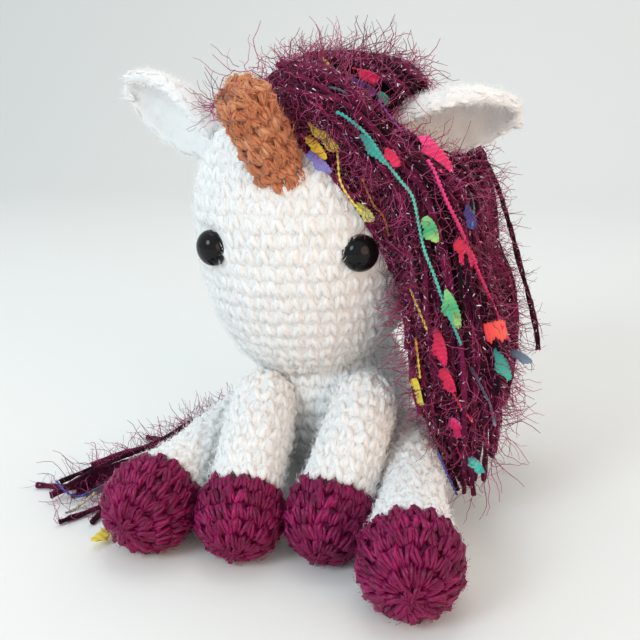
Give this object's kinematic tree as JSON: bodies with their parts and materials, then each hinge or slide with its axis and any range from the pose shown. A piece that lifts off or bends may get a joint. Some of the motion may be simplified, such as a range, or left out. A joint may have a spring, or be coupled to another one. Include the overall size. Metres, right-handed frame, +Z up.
{
  "type": "crochet unicorn",
  "caption": "Seated crocheted unicorn soft toy with stuffed body, head and legs stretched forward, cupped ears, a blunt horn, and a yarn mane and tail that fall to one side.",
  "frame": {"origin": "centre of the flat under the body, on the surface that the toy sits on", "axes": "+Z up, the toy faces -Y, its own left side is +X"},
  "size_m": [0.1573, 0.1409, 0.149],
  "materials": {
    "white_yarn": "matte crocheted acrylic yarn",
    "plum_yarn": "crocheted acrylic yarn with a soft sheen",
    "copper_yarn": "tightly crocheted yarn with a soft sheen",
    "mane_yarn": "velvety fancy yarn with tinsel and eyelash fibres",
    "black_plastic": "polished",
    "clear_nylon": "moulded",
    "fibre_fill": "loose polyester fill"
  },
  "bodies": {
    "body": {"body_cover": "white_yarn", "body_stuffing": "fibre_fill", "tail_knot": "mane_yarn"},
    "head": {"head_cover": "white_yarn", "head_stuffing": "fibre_fill", "eye_right": "black_plastic", "eye_left": "black_plastic", "eye_washer_right": "clear_nylon", "eye_washer_left": "clear_nylon", "horn_cover": "copper_yarn", "horn_stuffing": "fibre_fill", "mane_crest": "mane_yarn", "mane_back_lock": "mane_yarn"},
    "ear_right": {"ear_right": "white_yarn"},
    "ear_left": {"ear_left": "white_yarn"},
    "mane_front": {"mane_front_lock": "mane_yarn"},
    "tail": {"tail_lock": "mane_yarn"},
    "front_right_leg": {"front_right_leg_sleeve": "white_yarn", "front_right_hoof": "plum_yarn", "front_right_leg_stuffing": "fibre_fill"},
    "front_left_leg": {"front_left_leg_sleeve": "white_yarn", "front_left_hoof": "plum_yarn", "front_left_leg_stuffing": "fibre_fill"},
    "hind_right_leg": {"hind_right_leg_sleeve": "white_yarn", "hind_right_hoof": "plum_yarn", "hind_right_leg_stuffing": "fibre_fill"},
    "hind_left_leg": {"hind_left_leg_sleeve": "white_yarn", "hind_left_hoof": "plum_yarn", "hind_left_leg_stuffing": "fibre_fill"}
  },
  "joints": [
    {"name": "head_turn", "type": "hinge", "parent": "body", "child": "head", "pos_m": [-0.006, -0.004, 0.098], "axis": [0, 0, 1], "range_deg": [-8, 8], "stiffness_Nm_per_rad": 0.4},
    {"name": "ear_right_flap", "type": "hinge", "parent": "head", "child": "ear_right", "pos_m": [-0.04103, -0.00032, 0.12087], "axis": [0.4667, -0.2705, 0.842], "range_deg": [-15, 15], "stiffness_Nm_per_rad": 0.02},
    {"name": "ear_left_flap", "type": "hinge", "parent": "head", "child": "ear_left", "pos_m": [0.02547, 0.00269, 0.125], "axis": [0.0902, 0.505, -0.8584], "range_deg": [-15, 15], "stiffness_Nm_per_rad": 0.02},
    {"name": "front_right_leg_lift", "type": "hinge", "parent": "body", "child": "front_right_leg", "pos_m": [-0.01546, -0.03171, 0.0345], "axis": [-0.9917, -0.1286, 0], "range_deg": [0, 30], "stiffness_Nm_per_rad": 0.25},
    {"name": "front_left_leg_lift", "type": "hinge", "parent": "body", "child": "front_left_leg", "pos_m": [0.01951, -0.02893, 0.036], "axis": [-0.9967, 0.0809, 0], "range_deg": [0, 30], "stiffness_Nm_per_rad": 0.25},
    {"name": "hind_right_leg_splay", "type": "hinge", "parent": "body", "child": "hind_right_leg", "pos_m": [-0.03225, -0.01303, 0.018], "axis": [0, 0, -1], "range_deg": [0, 25], "stiffness_Nm_per_rad": 0.25},
    {"name": "hind_left_leg_splay", "type": "hinge", "parent": "body", "child": "hind_left_leg", "pos_m": [0.03269, -0.0119, 0.018], "axis": [0, 0, 1], "range_deg": [0, 14], "stiffness_Nm_per_rad": 0.25},
    {"name": "mane_front_swing", "type": "hinge", "parent": "head", "child": "mane_front", "pos_m": [0.012, -0.027, 0.133], "axis": [0, -1, 0], "range_deg": [0, 20]},
    {"name": "tail_swing", "type": "hinge", "parent": "body", "child": "tail", "pos_m": [-0.009, 0.037, 0.009], "axis": [0, 0, 1], "range_deg": [-14, 0], "stiffness_Nm_per_rad": 0.03}
  ]
}
